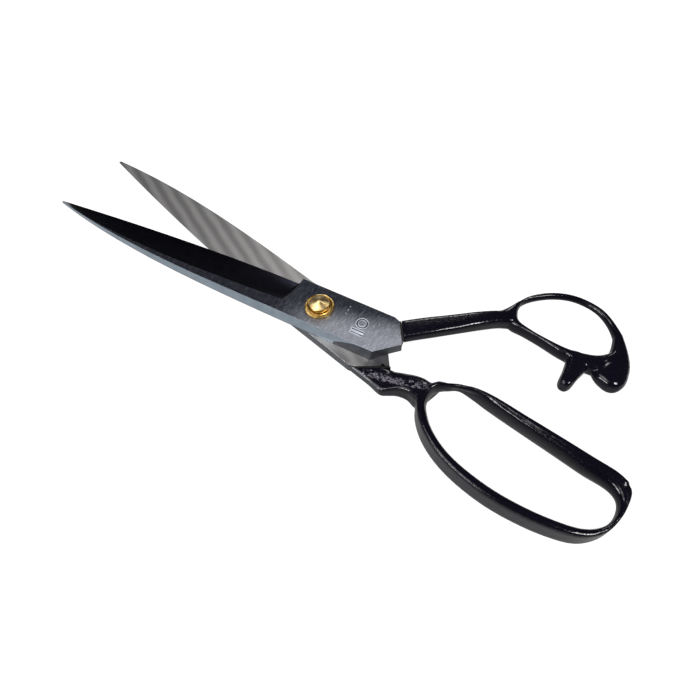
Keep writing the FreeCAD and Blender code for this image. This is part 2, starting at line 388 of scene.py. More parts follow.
print("points in a section:", len(closed_section(bevel_top(TIP_X), Vector((TIP_X, 0, 0)), 0.5)))

# %% Rows of a blade, from the tip to the block
BEVEL_STATIONS = 36
BEVEL_STOP = 1.6          # the last station stands this far from the end of the grind
WALL_START = 0.5
WALL_SLIP = 0.7           # how far the foot of the wall slants back
WALL_SWEEP = 1.7          # how far its top curves forward
WALL_STEPS = [(0.0, 0.0), (0.5, 0.16), (0.82, 0.5), (1.0, 1.0)]      # (forward, up)
BLOCK_EDGE_Y = 10.2
BLOCK_STATIONS = [-8.0, 0.0, 5.0, 9.0, 12.0, 15.0, 18.0, 21.0, 24.0]


def bevel_rows():
    rows = []
    for n in range(BEVEL_STATIONS):
        x = TIP_X + (GRIND_END_X - BEVEL_STOP - TIP_X) * n / (BEVEL_STATIONS - 1)
        rows.append(closed_section(bevel_top(x), Vector((x, back_y(x), 0)), facet_share(x)))
    return rows


def wall_rows():
    """The end of the grind: the last bevel row climbs to the top of the block."""
    rows = []
    low = bevel_top(GRIND_END_X - WALL_START, WALL_SLIP)
    for forward, up in WALL_STEPS:
        top = []
        for i, p in enumerate(low):
            share = bevel_share(i)
            x_end = GRIND_END_X + WALL_SWEEP * (1 - (1 - share) ** 2)
            x = p.x + (x_end - p.x) * forward
            y = p.y + (BLOCK_EDGE_Y - edge_y(GRIND_END_X)) * share * up
            top.append(Vector((x, y, p.z + (BLOCK_THICK - p.z) * up)))
        x = top[0].x
        rows.append(closed_section(top, Vector((x, back_y(x), 0)), facet_share(x)))
    return rows


def block_rows():
    rows = []
    last = BACK_POINTS + BEVEL_POINTS - 1
    for x in BLOCK_STATIONS:
        start = back_top_y(x)
        width = BLOCK_EDGE_Y - start
        top = [Vector((x, start + width * i / last, BLOCK_THICK)) for i in range(last + 1)]
        rows.append(closed_section(top, Vector((x, BACK_Y, 0)), facet_share(x)))
    return rows


print("rows before the heel:", len(bevel_rows() + wall_rows() + block_rows()))

# %% The heel and the whole blade
HEEL_FOOT_X = 29.0
HEEL_BACK_X = 29.2
HEEL_ARROW = (38.3, -0.6)
HEEL_CORNER_Y = 9.2
HEEL_CORNER_AHEAD = 2.5   # the corner lies this far past the joint with the handle
THUMB_JOINT_X = 30.0
FINGER_JOINT_X = 25.5


def heel_row(joint_x):
    """The heel's outline: back, arrow point, corner, and the joint with the handle."""
    back = Vector((HEEL_BACK_X, BACK_Y + BACK_LEAN, BLOCK_THICK))
    arrow = Vector((*HEEL_ARROW, BLOCK_THICK))
    corner = Vector((joint_x + HEEL_CORNER_AHEAD, HEEL_CORNER_Y, BLOCK_THICK))
    joint = Vector((joint_x, BLOCK_EDGE_Y, BLOCK_THICK))
    to_arrow = [back.lerp(arrow, i / 4) for i in range(4)]
    to_corner = [arrow.lerp(corner, i / 5) for i in range(6)]
    foot = Vector((HEEL_FOOT_X, BACK_Y, 0))
    return closed_section(to_arrow + to_corner + [joint], foot, facet_share(FACET_TO))


def blade_mesh(joint_x):
    rows = bevel_rows() + wall_rows() + block_rows() + [heel_row(joint_x)]
    bm = bmesh.new()
    row = new_row(bm, rows[0])
    close_cap(bm, row)
    for points in rows[1:]:
        row = next_row(bm, row, points)
    count = BACK_POINTS + BEVEL_POINTS
    chains = row[1][:count - 1] + row[1][count:2 * count - 1]
    bmesh.ops.bridge_loops(bm, edges=chains)
    bmesh.ops.holes_fill(bm, edges=[e for e in bm.edges if e.is_boundary], sides=4)
    bmesh.ops.recalc_face_normals(bm, faces=bm.faces)
    bm.normal_update()
    return bm


trial = blade_mesh(THUMB_JOINT_X)
print("blade faces:", len(trial.faces), "open edges:", sum(e.is_boundary for e in trial.edges))
trial.free()

# %% [markdown]
# ## Blade steel
#
# Five finishes meet on one forging. The flat round the pivot is dark, brushed steel with
# scratches, lighter and smoother towards the back near the heel. It has a painted highlight
# line along the back edge, painted glints on the scratches, and painted shade and a painted
# highlight on its stamp. The narrow strip along the back is satin; the bevel is polished
# almost to a mirror and shows the dark room; the inner face is ground, with soft bands left
# by the grinding wheel and painted shade towards the heel; the heel keeps its dull forged
# skin. Each is one procedural material, because the eye reads the piece by how these
# finishes differ.

# %% The scratched flat round the pivot
def scratches(where, angle, across, lengthwise):
    """Fine parallel scratches at an angle, as noise stretched along one way."""
    return where.turned(angle, (lengthwise, across, across)).noise(1.0, 3.0, 0.6)


STAMP_X, STAMP_Y = 0.0195, 0.0010        # metres from the pivot
TICKS_X = 0.0112


def steel_flat(name, turn):
    material, shader, coords = finish_named(name)
    blade = coords.turned(turn)
    brushed = scratches(blade, 1.3, 6500, 330)
    crossed = scratches(blade, 1.75, 4200, 380)
    cloud = blade.noise(160, 3.0, 0.55)
    # The flat's colour is lighter, and its roughness lower, towards the back edge near the heel.
    lighter_share = (blade.part("Y") * -1 + blade.part("X") * 0.2 + cloud * 0.006).ramp(-0.002, 0.0135)
    forward = blade.part("X").ramp(-0.02, 0.012)
    pits = blade.noise(2100, 2.0, 0.6).ramp(0.66, 0.72)
    stamp = maker_stamp(blade)
    # Painted shade and highlight on the stamp: its recess is painted darker and its rim painted
    # light.
    struck = stamp.ramp(0.6, 0.9)
    stamp_rim_highlight = stamp.ramp(0.03, 0.3) - struck
    fleck = brushed.ramp(0.5, 0.72) * crossed.ramp(0.4, 0.62)
    # Painted highlight: a bright line painted along the back edge of the flat.
    painted_edge_highlight = (blade.part("Y") * -1).ramp(0.0083, 0.0092) * forward
    # Painted glints: scratch crossings painted light, most in the lighter band and on the edge line.
    painted_scratch_glints = fleck * (0.15 + (lighter_share + painted_edge_highlight) * forward * 1.6)
    tone = lighter_share * forward * 0.55 + brushed.ramp(0.35, 0.75) * 0.1 + painted_scratch_glints + pits * 0.15
    # The painted rim highlight is added, then the recess is painted darker as shade.
    tone = (tone + stamp_rim_highlight * 0.9) * (1 - struck * 0.75)
    plug(tone.blend((0.012, 0.014, 0.022, 1), (0.62, 0.64, 0.72, 1)), shader, "Base Color")
    shader.inputs["Metallic"].default_value = 1.0
    plug(0.52 - lighter_share * 0.12 + brushed * 0.1, shader, "Roughness")
    bump(brushed * 0.5 + crossed * 0.4 + pits * 0.5 - stamp * 4, 0.5, 0.00006, shader)
    return material


def maker_stamp(blade):
    """A plain stamped mark: a ring over two bars, and a column of short ticks."""
    x = blade.part("X") - STAMP_X
    y = blade.part("Y") - STAMP_Y
    radius = (x * x + y * y) ** 0.5
    ring = (radius - 0.0021).size().ramp(0.00075, 0.0001)
    lower_bar = (y + 0.0040).size().ramp(0.0008, 0.0001)
    second_bar = (y + 0.0055).size().ramp(0.0007, 0.0001)
    bar = (lower_bar + second_bar) * x.size().ramp(0.0032, 0.0026)
    tick = (blade.part("X") - TICKS_X).size().ramp(0.0006, 0.0001)
    column = (blade.part("Y") - 0.0045).size().ramp(0.0028, 0.0024)
    gap = (blade.part("Y") * 3200).sine().ramp(-0.1, 0.7)
    return ring + bar + tick * column * gap * 0.15

# %% Satin and polished steel
def steel_plain(name, turn, dark, light, rough, grain_angle, depth):
    """Satin steel: a two-tone cloud with a fine grain along one way."""
    material, shader, coords = finish_named(name)
    blade = coords.turned(turn)
    grain = scratches(blade, grain_angle, 6000, 120)
    cloud = blade.noise(220, 3.0, 0.55)
    plug((cloud.ramp(0.3, 0.7) * 0.7 + grain * 0.3).blend(dark, light), shader, "Base Color")
    shader.inputs["Metallic"].default_value = 1.0
    plug(rough + grain * 0.12, shader, "Roughness")
    bump(grain, 0.35, depth, shader)
    return material


# %% Ground steel
WHEEL_ANGLE = 1.28        # radians from the blade's length
BAND_RATE = 1120          # radians per metre, so a band every 5.6 mm
NICK_X, NICK_Y = 0.0362, -0.0011         # metres from the pivot
NICK_LENGTH, NICK_WIDTH = 0.00085, 0.0007
SHADE_FROM, SHADE_TO = 0.0295, 0.0345    # where the heel darkens


def steel_ground(name, turn):
    """Inner face: broad soft bands from the wheel, with fine lines inside them."""
    material, shader, coords = finish_named(name)
    blade = coords.turned(turn)
    drift = blade.noise(90, 2.0) * 0.9
    tilted = blade.turned(WHEEL_ANGLE)
    band = (tilted.part("X") * BAND_RATE + drift * 2.4).sine() * 0.5 + 0.5
    lines = scratches(blade, WHEEL_ANGLE, 9000, 160)
    tone = band.ramp(0.1, 0.95) * 0.2 + lines * 0.5 + drift * 0.25
    ground = tone.blend((0.40, 0.385, 0.38, 1), (0.66, 0.645, 0.63, 1))
    x, y = blade.part("X"), blade.part("Y").size()
    # Painted shade: the ground face is painted darker towards the heel, with a mottled edge.
    shade = (x + blade.noise(500, 3.0) * 0.006 - y * 0.4).ramp(SHADE_FROM, SHADE_TO)
    nick_along = (x - NICK_X).size().ramp(NICK_LENGTH, 0.0006)
    nick_across = (blade.part("Y") - NICK_Y).size().ramp(NICK_WIDTH, 0.0005)
    ground_with_painted_shade = (shade * 0.8).blend(ground, (0.07, 0.07, 0.08, 1))
    plug((nick_along * nick_across).blend(ground_with_painted_shade, (0.004, 0.004, 0.005, 1)), shader, "Base Color")
    shader.inputs["Metallic"].default_value = 1.0
    plug(0.36 + band * 0.07 + lines * 0.06, shader, "Roughness")
    bump(band * 0.2 + lines * 0.5, 0.25, 0.00008, shader)
    return material


# %% The five finishes of a blade
def blade_materials(half, turn):
    """The five finishes, in the order of the numbers below."""
    flat = steel_flat(half + " flat", turn)
    strip = steel_plain(
        half + " back strip", turn, dark=(0.15, 0.18, 0.21, 1), light=(0.20, 0.235, 0.27, 1),
        rough=0.32, grain_angle=0.0, depth=0.00003,
    )
    bevel = steel_plain(
        half + " bevel", turn, dark=(0.018, 0.018, 0.03, 1), light=(0.035, 0.035, 0.05, 1),
        rough=0.12, grain_angle=1.45, depth=0.000012,
    )
    inner = steel_ground(half + " inner face", turn)
    side = steel_plain(
        half + " forged side", turn, dark=(0.034, 0.037, 0.043, 1), light=(0.068, 0.071, 0.08, 1),
        rough=0.42, grain_angle=0.6, depth=0.00008,
    )
    return [flat, strip, bevel, inner, side]


FLAT, STRIP, BEVEL, INNER, SIDE = range(5)
print("steel finishes on each blade:", SIDE + 1)

# %% Which finish goes where
FACES_DOWN, FACES_UP, TILTS_UP = -0.9, 0.99, 0.3     # limits on a normal's z
FACES_TIP, FACES_BACK = -0.4, -0.6                   # on its x and y
NEAR = 0.01               # millimetres
BLOCK_STARTS_X = GRIND_END_X + 0.5


def choose_finishes(bm):
    """Give each face of a drawn blade the finish of its region."""
    for face in bm.faces:
        n, c = face.normal, face.calc_center_median()
        on_ridge = c.y < ridge_y(c.x) + NEAR
        if n.z < FACES_DOWN:
            face.material_index = INNER
        elif n.z > FACES_UP and (c.x > BLOCK_STARTS_X or on_ridge):
            face.material_index = FLAT
        elif n.z > TILTS_UP or n.x < FACES_TIP:
            face.material_index = BEVEL
        elif n.y < FACES_BACK:
            upper = c.z > facet_share(c.x) * thickness(c.x) / 2 + 2 * NEAR
            face.material_index = STRIP if upper and c.x < FACET_TO else SIDE
        else:
            face.material_index = SIDE

# %% The two blades
BLADE_CREASE = 0.42       # radians; a sharper fold stays a hard line
BLADE_EASE = 0.1          # millimetres


def add_blade(half, place, turn, joint_x, body):
    bm = blade_mesh(joint_x)
    choose_finishes(bm)
    sharpen(bm, BLADE_CREASE)
    name = half + "_blade"
    finishes = blade_materials(half, turn)
    piece = new_piece(name + "_ground", bm, place, finishes, body, name)
    ease(piece, BLADE_EASE)


add_blade("thumb", THUMB_PLACE, HALF_ANGLE, THUMB_JOINT_X, "thumb_half")
add_blade("finger", FINGER_PLACE, -HALF_ANGLE, FINGER_JOINT_X, "finger_half")

# %% [markdown]
# ## Cast handles
#
# The handles are cast iron dipped in black enamel. A casting has no sharp joins: bars run
# into one another with soft fillets, and the section changes all the way along. Each bar
# is drawn as a run of sections, each given by its two sides in plan and its lowest and
# highest point. The bars overlap, a voxel remesh melts them into one skin, and smoothing
# rounds the joins as enamel does. Lofting one single surface would need every branch to
# be planned; overlapping bars do not.

# %% Bars between two sides
SECTION_POINTS = 18
SUBSTEPS = 4


def catmull_rom(before, start, end, after, t):
    """A smooth step from start (t = 0) to end (t = 1), number by number."""
    result = []
    for p, q, r, s in zip(before, start, end, after):
        square = 2 * p - 5 * q + 4 * r - s
        cube = 3 * q - p - 3 * r + s
        result.append(0.5 * (2 * q + (r - p) * t + square * t * t + cube * t * t * t))
    return result


def smoothed(stations, closed):
    """More stations in between, on a smooth path through the given ones."""
    count = len(stations)
    result = []
    for i in range(count if closed else count - 1):
        around = [i - 1, i, i + 1, i + 2]
        if closed:
            picked = [stations[k % count] for k in around]
        else:
            picked = [stations[min(max(k, 0), count - 1)] for k in around]
        result += [catmull_rom(*picked, step / SUBSTEPS) for step in range(SUBSTEPS)]
    return result if closed else result + [list(stations[-1])]


def bar_section(station, square_a, square_b):
    """Closed row from side a to side b; a higher square power gives a flatter side."""
    ax, ay, bx, by, low, high = station
    points = []
    for n in range(SECTION_POINTS):
        turn = 2 * math.pi * (n + 0.5) / SECTION_POINTS
        c, s = math.cos(turn), math.sin(turn)
        power = 2 / (square_a if c > 0 else square_b)
        across = 0.5 - 0.5 * math.copysign(abs(c) ** power, c)
        up = 0.5 + 0.5 * math.copysign(abs(s) ** power, s)
        x = ax + (bx - ax) * across
        y = ay + (by - ay) * across
        points.append(Vector((x, y, low + (high - low) * up)))
    return points


def add_bar(bm, stations, square_a=2.6, square_b=2.6, closed=False):
    """A bar through stations of (side a x, y, side b x, y, low, high), in millimetres."""
    rows = [bar_section(s, square_a, square_b) for s in smoothed(stations, closed)]
    row = first = new_row(bm, rows[0])
    for points in rows[1:]:
        row = next_row(bm, row, points)
    if closed:
        bmesh.ops.bridge_loops(bm, edges=first[1] + row[1])
    else:
        close_cap(bm, first)
        close_cap(bm, row)

# %% One skin over the bars
SKIN_VOXEL = 0.4          # millimetres
SOFTEN = 0.5              # how far each round of smoothing moves a point


def cast_skin(piece, rounds):
    """Melt overlapping bars into one smooth skin."""
    melt = piece.modifiers.new("one skin", "REMESH")
    melt.mode = "VOXEL"
    melt.voxel_size = SKIN_VOXEL * MM
    melt.use_smooth_shade = True
    smooth = piece.modifiers.new("soft joins", "SMOOTH")
    smooth.factor = SOFTEN
    smooth.iterations = rounds


print("skin voxel in mm:", SKIN_VOXEL)

# %% [markdown]
# ## Black enamel
#
# Enamel over cast iron is almost black, with a breath of violet, and very glossy. The
# casting under it is not smooth, so every highlight breaks into a ragged line. Two scales
# of noise do this: slow waves of a few millimetres bend the highlight, and a fine grain
# breaks it up. Faces that look upwards were rubbed and polished, so a broken coat of gloss
# lies on them, while the upright walls are duller. By the blades the casting is rougher
# still. Pale threads of painted highlight are laid on the top of the neck, and one side of
# the neck was ground bare with the blade. All of it is one material, so the finishes run
# into one another; two materials would meet at a hard line.

# %% Enamel material
NORMAL_OUT = 1            # the Geometry node's Normal socket
LEVEL_FROM, LEVEL_TO = 0.3, 0.65         # a normal's z, from wall to upward face
WALL_GLOSS = 0.085
COAT_ROUGHNESS = 0.08


def black_enamel(name):
    material, shader, coords = finish_named(name)
    waves = coords.noise(330, 2.0, 0.5)
    grain = coords.noise(1300, 3.0, 0.6)
    rough_cast = coords.part("X").ramp(0.070, 0.050)
    cloud = coords.noise(60, 2.0)
    enamel_tone = cloud.blend((0.0012, 0.001, 0.0026, 1), (0.0034, 0.0029, 0.0070, 1))
    bare = ground_side(coords.turned(-HALF_ANGLE)) * coords.part("Y").ramp(0.0, -0.002)
    normal = coords.make("ShaderNodeNewGeometry", {}, {}, out=NORMAL_OUT)
    upward = normal.part("Z").ramp(LEVEL_FROM, LEVEL_TO)
    # Painted highlight: pale threads painted into the enamel's colour on top of the neck.
    painted_threads = painted_neck_highlights(coords)
    with_painted_threads = painted_threads.blend(enamel_tone, (0.42, 0.39, 0.45, 1))
    plug(bare.blend(with_painted_threads, (0.055, 0.057, 0.063, 1)), shader, "Base Color")
    plug(bare, shader, "Metallic")
    rough = 0.1 + grain * 0.1 + rough_cast * 0.05 + bare * 0.3 + painted_threads * 0.2
    plug(rough + (1 - upward) * 0.22, shader, "Roughness")
    shader.inputs["Specular IOR Level"].default_value = WALL_GLOSS
    broken = coords.noise(1100, 4.0, 0.65).ramp(0.40, 0.62)
    plug(upward * (0.14 + broken * 0.6), shader, "Coat Weight")
    shader.inputs["Coat Roughness"].default_value = COAT_ROUGHNESS
    bump(waves * 0.35 + grain * (0.12 + rough_cast * 0.2) * (1 - bare), 0.5, 0.0007, shader)
    return material


# %% Painted highlight threads and the ground side of the neck
THREAD_LINE_X, THREAD_LINE_Y = 0.0357, -0.0114       # a point on the line that the threads follow
THREAD_LINE_SLOPE = 0.23
GROUND_FROM_X, GROUND_TO_X = 0.024, 0.0425
GROUND_Y = 0.0094         # metres from the blade's middle line


def painted_neck_highlights(coords):
    """Ragged pale threads of painted highlight along the top of the rough neck."""
    x, y = coords.part("X"), coords.part("Y")
    middle = y - THREAD_LINE_Y - (x - THREAD_LINE_X) * THREAD_LINE_SLOPE
    ends = x.ramp(0.0295, 0.032) * x.ramp(0.059, 0.052)
    band = (middle + coords.noise(260) * 0.002 - 0.001).size().ramp(0.0020, 0.0011) * ends
    drawn_out = coords.turned(0.25, (0.45, 1.0, 1.0)).noise(1300, 4.0, 0.7, 1.2)
    thread = (drawn_out - 0.5).size().ramp(0.024, 0.006)
    patch = coords.noise(420, 2.0).ramp(0.42, 0.52)
    return band * thread * patch * coords.part("Z").ramp(0.0045, 0.0056)


def ground_side(blade):
    """1 on the side of the neck that was ground flush with the blade's edge side."""
    flush = (blade.part("Y") * -1).ramp(GROUND_Y, 0.0097)
    x = blade.part("X")
    return flush * x.ramp(GROUND_TO_X, 0.0418) * x.ramp(GROUND_FROM_X, 0.0245)


enamel = black_enamel("black enamel")
print("enamel nodes:", len(enamel.node_tree.nodes))

# %% [markdown]
# ## Finger bow
#
# The long bow takes three or four fingers. Its cutting-side bar carries a raised crest,
# so that the hand has a broad round surface to press on, and a rough neck joins it to the
# blade. The bow is a closed run of sections, and the crest and the neck are two more bars
# that melt into it. Each number below was read off the real outline, side by side, which
# a swept tube of one width could not follow.

# %% Finger bow and its neck
BOW = [
    (66.4, 2.2, 66.6, 1.2, 5.2, 11.0), (72.0, 3.3, 71.8, 1.8, 3.5, 11.2),
    (80.0, 3.3, 79.6, 1.3, 2.3, 11.4), (92.0, 2.6, 91.6, 0.2, 2.2, 11.6),
    (108.0, 2.1, 107.6, -1.1, 2.0, 11.6), (120.0, 2.2, 119.2, -2.3, 2.0, 11.5),
    (129.0, 2.3, 128.0, -2.9, 2.8, 11.3), (134.9, 0.3, 132.4, -5.4, 3.8, 10.8),
    (136.3, -5.4, 134.0, -9.8, 4.2, 10.2), (135.8, -12.6, 133.4, -14.6, 3.2, 10.0),
    (133.4, -19.4, 130.6, -18.6, 1.4, 10.0), (127.8, -25.0, 125.8, -21.8, 0.1, 10.3),
    (119.0, -28.4, 118.0, -24.3, 0.1, 10.8), (108.2, -30.5, 107.6, -26.1, 0.1, 10.8),
    (96.0, -31.3, 96.2, -26.8, 0.1, 10.8), (83.4, -30.1, 84.6, -25.9, 0.1, 10.8),
    (73.0, -27.3, 75.4, -23.8, 0.1, 10.8), (64.6, -23.0, 67.4, -19.8, 0.1, 10.8),
    (58.4, -17.4, 62.2, -15.2, 0.1, 10.8), (55.4, -12.0, 59.2, -10.8, 0.6, 10.8),
    (55.6, -6.6, 58.8, -5.6, 2.4, 10.9), (58.2, -1.9, 60.6, -2.9, 4.0, 11.0),
    (61.8, -0.3, 63.4, -0.9, 5.0, 11.0),
]
CREST = [
    (63.4, 0.4, 64.0, -0.6, 8.4, 10.8), (66.8, 2.0, 67.2, 0.4, 8.8, 11.5),
    (72.0, 3.8, 72.2, 1.8, 8.9, 12.0), (80.0, 4.5, 79.8, 2.2, 8.9, 12.2),
    (92.0, 4.1, 91.8, 1.6, 8.9, 12.2), (108.0, 3.6, 107.8, 1.0, 8.9, 12.2),
    (120.0, 3.2, 119.6, 0.6, 8.8, 12.0), (128.6, 3.0, 127.6, 0.4, 8.4, 11.8),
    (133.6, 1.8, 131.6, -1.0, 8.0, 11.4),
]
NECK = [
    (38.7, -4.9, 24.2, -13.5, 1.3, 5.9), (39.8, -4.7, 29.4, -14.2, 1.25, 5.9),
    (41.4, -4.5, 34.9, -14.9, 1.2, 6.0), (43.4, -3.8, 40.9, -16.1, 1.15, 6.8),
    (45.8, -3.2, 43.6, -14.8, 1.1, 7.6), (48.9, -2.5, 46.9, -12.5, 0.8, 8.7),
    (52.6, -2.0, 51.0, -11.6, 0.4, 9.7), (55.6, -2.4, 54.6, -12.6, 0.1, 10.5),
    (57.2, -2.1, 56.2, -12.2, 0.1, 10.7), (59.2, -1.3, 56.8, -11.6, 0.1, 10.8),
    (60.7, -0.8, 58.2, -5.4, 3.6, 10.9),
]
bm = bmesh.new()
add_bar(bm, BOW, 7.0, 2.1, closed=True)
add_bar(bm, CREST, 2.4, 2.2)
add_bar(bm, NECK, 3.2, 6.0)
bow = new_piece(
    "finger_bow_cast", bm, ROW_PLACE, [enamel], "finger_half", "finger_handle",
)
cast_skin(bow, rounds=7)

# %% [markdown]
# ## Thumb ring
#
# The thumb's ring is smaller, and ends in a fat tail with a short prong under it. The
# prong meets the other handle when the shears close. The ring is again a closed run; the
# tail, the web between tail and prong, the prong, the shank and its throat are bars. One
# bar for each limb keeps each of them easy to move without touching the others.

# %% Thumb ring, tail, prong and shank
RING = [
    (64.4, 47.0, 67.6, 50.6, 1.4, 8.2), (65.6, 53.0, 67.5, 54.0, 3.6, 8.6),
    (68.8, 59.4, 70.6, 57.8, 5.2, 8.9), (75.0, 65.6, 76.6, 63.3, 5.5, 8.9),
    (82.2, 69.4, 83.2, 66.9, 5.6, 8.9), (89.8, 70.6, 89.6, 67.9, 5.6, 8.9),
    (97.4, 69.6, 95.9, 67.0, 5.4, 8.9), (104.2, 65.8, 102.0, 63.6, 4.6, 8.8),
    (110.4, 60.2, 106.6, 58.6, 3.2, 8.6), (112.0, 52.6, 107.8, 53.6, 1.6, 8.2),
    (107.6, 44.4, 104.6, 49.2, 1.0, 8.0), (100.2, 41.2, 99.6, 46.6, 0.7, 7.8),
    (92.0, 40.2, 92.4, 44.4, 0.8, 7.8), (82.0, 41.2, 82.4, 43.7, 1.2, 7.8),
    (74.4, 41.6, 75.4, 44.2, 1.2, 7.8), (67.2, 41.8, 70.2, 46.0, 0.8, 7.9),
]
TAIL = [
    (108.6, 62.6, 105.6, 60.4, 4.0, 8.6), (113.4, 57.0, 107.2, 54.0, 2.0, 8.4),
    (116.8, 51.6, 106.6, 46.8, 1.0, 8.1), (118.2, 46.2, 104.6, 41.4, 0.6, 8.1),
    (118.4, 42.4, 107.0, 38.4, 0.7, 8.0), (117.4, 39.2, 110.4, 37.3, 1.0, 7.4),
    (116.0, 37.8, 112.6, 36.9, 2.0, 6.2),
]
THROAT = [
    (55.4, 38.6, 61.0, 34.6, 4.4, 9.8), (58.4, 42.0, 63.8, 38.2, 3.4, 9.2),
    (61.6, 45.4, 66.2, 42.6, 2.4, 8.6), (63.8, 49.6, 67.0, 47.8, 2.2, 8.3),
    (65.4, 53.6, 67.4, 52.6, 3.0, 8.3),
]
WEB = [
    (89.0, 43.0, 89.6, 41.4, 0.9, 7.6), (96.0, 44.2, 96.4, 40.2, 0.8, 7.9),
    (101.0, 45.4, 102.0, 40.0, 0.8, 8.0), (106.0, 47.6, 107.6, 41.0, 0.8, 7.7),
    (110.0, 51.0, 112.0, 43.0, 0.9, 7.2),
]
PRONG = [
    (94.4, 44.6, 103.6, 44.6, 0.8, 7.8), (94.6, 39.6, 103.0, 39.6, 0.8, 7.8),
    (95.4, 34.6, 102.0, 34.6, 0.7, 7.8), (95.8, 29.8, 101.4, 29.8, 0.8, 7.7),
    (96.5, 28.2, 100.7, 28.2, 1.0, 7.4), (97.4, 27.4, 99.9, 27.4, 1.8, 6.6),
]
SHANK = [
    (31.4, 14.2, 37.0, 7.3, 6.2, 11.6), (35.0, 17.9, 40.5, 11.1, 6.2, 11.6),
    (39.9, 22.8, 45.3, 16.1, 6.1, 11.5), (47.0, 29.6, 52.1, 23.6, 5.6, 11.2),
    (54.0, 36.7, 58.6, 31.2, 4.6, 10.8), (60.0, 42.8, 64.2, 38.0, 3.0, 9.6),
    (64.0, 46.2, 67.6, 41.4, 1.6, 8.4), (66.6, 47.4, 69.8, 43.8, 1.0, 8.0),
]
bm = bmesh.new()
add_bar(bm, RING, 2.3, 2.2, closed=True)
add_bar(bm, TAIL, 2.3, 2.4)
add_bar(bm, WEB, 2.6, 3.4)
add_bar(bm, PRONG, 3.4, 3.4)
add_bar(bm, SHANK, 4.5, 4.5)
add_bar(bm, THROAT, 2.8, 2.8)
ring = new_piece(
    "thumb_ring_cast", bm, ROW_PLACE, [enamel], "thumb_half", "thumb_handle",
)
cast_skin(ring, rounds=8)

# %% [markdown]
# ## Brass nut and washer
#
# A turned brass nut with a shallow pointed crown sits in a dished washer with a rolled
# rim. Both are turned parts, so both are made the way a lathe makes them: half a section
# spun about the pivot. The tool leaves rings too fine to model, which fan the light out
# into bright and dark sectors. The shader's Anisotropic value stands for them; rings in
# the bump only sparkle.

# %% Lathe
SPIN_STEPS = 96
LATHE_CREASE = 0.35       # radians
WELD = 0.0005             # millimetres


def turned_piece(name, profile, material, replaced, body):
    """Spin a closed half section of (radius, height) about the pivot."""
    bm = bmesh.new()
    verts, edges = new_row(bm, [Vector((r, 0, z)) for r, z in profile])
    bmesh.ops.spin(
        bm, geom=verts + edges, cent=(0, 0, 0), axis=(0, 0, 1), dvec=(0, 0, 0),
        angle=2 * math.pi, steps=SPIN_STEPS, use_merge=True,
    )
    bmesh.ops.remove_doubles(bm, verts=bm.verts, dist=WELD)
    bmesh.ops.dissolve_degenerate(bm, dist=WELD, edges=bm.edges)
    bmesh.ops.recalc_face_normals(bm, faces=bm.faces)
    bm.normal_update()
    sharpen(bm, LATHE_CREASE)
    return new_piece(name, bm, ROW_PLACE, [material], body, replaced)

# %% Brass
GROOVE_RADIUS = 0.0046    # metres; inside it the washer's floor is dark
TURNED_LOOK = 0.9


def turned_brass(name, dark, light, groove):
    material, shader, coords = finish_named(name)
    x, y = coords.part("X"), coords.part("Y")
    radius = (x * x + y * y) ** 0.5
    lighter_share = coords.noise(700, 3.0)
    in_groove = radius.ramp(GROOVE_RADIUS, 0.0044) * groove
    tone = lighter_share.ramp(0.35, 0.65).blend(dark, light)
    plug(in_groove.blend(tone, (0.10, 0.04, 0.006, 1)), shader, "Base Color")
    shader.inputs["Metallic"].default_value = 1.0
    shader.inputs["Anisotropic"].default_value = TURNED_LOOK
    plug(0.26 + lighter_share * 0.08 + in_groove * 0.3, shader, "Roughness")
    bump(lighter_share, 0.1, 0.00002, shader)
    return material


nut_brass = turned_brass("turned brass nut", (0.50, 0.34, 0.13, 1), (0.72, 0.53, 0.27, 1), 0.0)
washer_brass = turned_brass("turned brass washer", (0.34, 0.21, 0.05, 1), (0.66, 0.46, 0.17, 1), 0.8)
print("brass nodes:", len(nut_brass.node_tree.nodes))

# %% Nut and washer
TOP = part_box("thumb_blade")[1].z / MM
NUT_RADIUS = 4.12
NUT_FOOT_RADIUS = 3.95
NUT_BORE = 2.95
CROWN_RADIUS = 4.0
CROWN_STEPS = (0, 0.25, 0.5, 0.75, 0.97, 1)
nut_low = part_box("cone_nut")[0].z / MM
nut_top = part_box("cone_nut")[1].z / MM
nut_side = TOP + 2.8
crown_low = nut_side + 0.15
crown_rise = nut_top - nut_side - 0.17
NUT = [
    (NUT_BORE, nut_low), (NUT_FOOT_RADIUS, nut_low), (NUT_RADIUS, nut_low + 0.25),
    (NUT_RADIUS, nut_side),
    *((CROWN_RADIUS * (1 - step), crown_low + crown_rise * step) for step in CROWN_STEPS),
    (0.0, nut_side), (NUT_BORE, nut_side),
]
rim_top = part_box("dished_washer")[1].z / MM
floor_z = TOP + 0.75
WASHER = [
    (3.3, floor_z), (5.02, floor_z), (5.1, TOP + 0.08), (5.95, TOP + 0.06), (6.15, TOP + 0.3),
    (6.18, rim_top - 0.55), (6.1, rim_top - 0.25), (5.85, rim_top - 0.04), (5.6, rim_top),
    (5.3, rim_top - 0.06), (5.02, rim_top - 0.3), (4.86, floor_z + 0.42), (3.3, floor_z + 0.4),
]
turned_piece("cone_nut_turned", NUT, nut_brass, "cone_nut", "finger_half")
turned_piece(
    "dished_washer_turned", WASHER, washer_brass, "dished_washer", "finger_half",
)

# %% [markdown]
# ## Bolt, spring washer and seams
#
# Three kinds of piece need no new shape: the bolt, whose end shows under the shears, the
# spring washer hidden under the nut's dish, and the thin brazed seams where each casting
# meets its forging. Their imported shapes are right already, so only their finish is new: a
# cloudy two-tone metal with a fine bump.

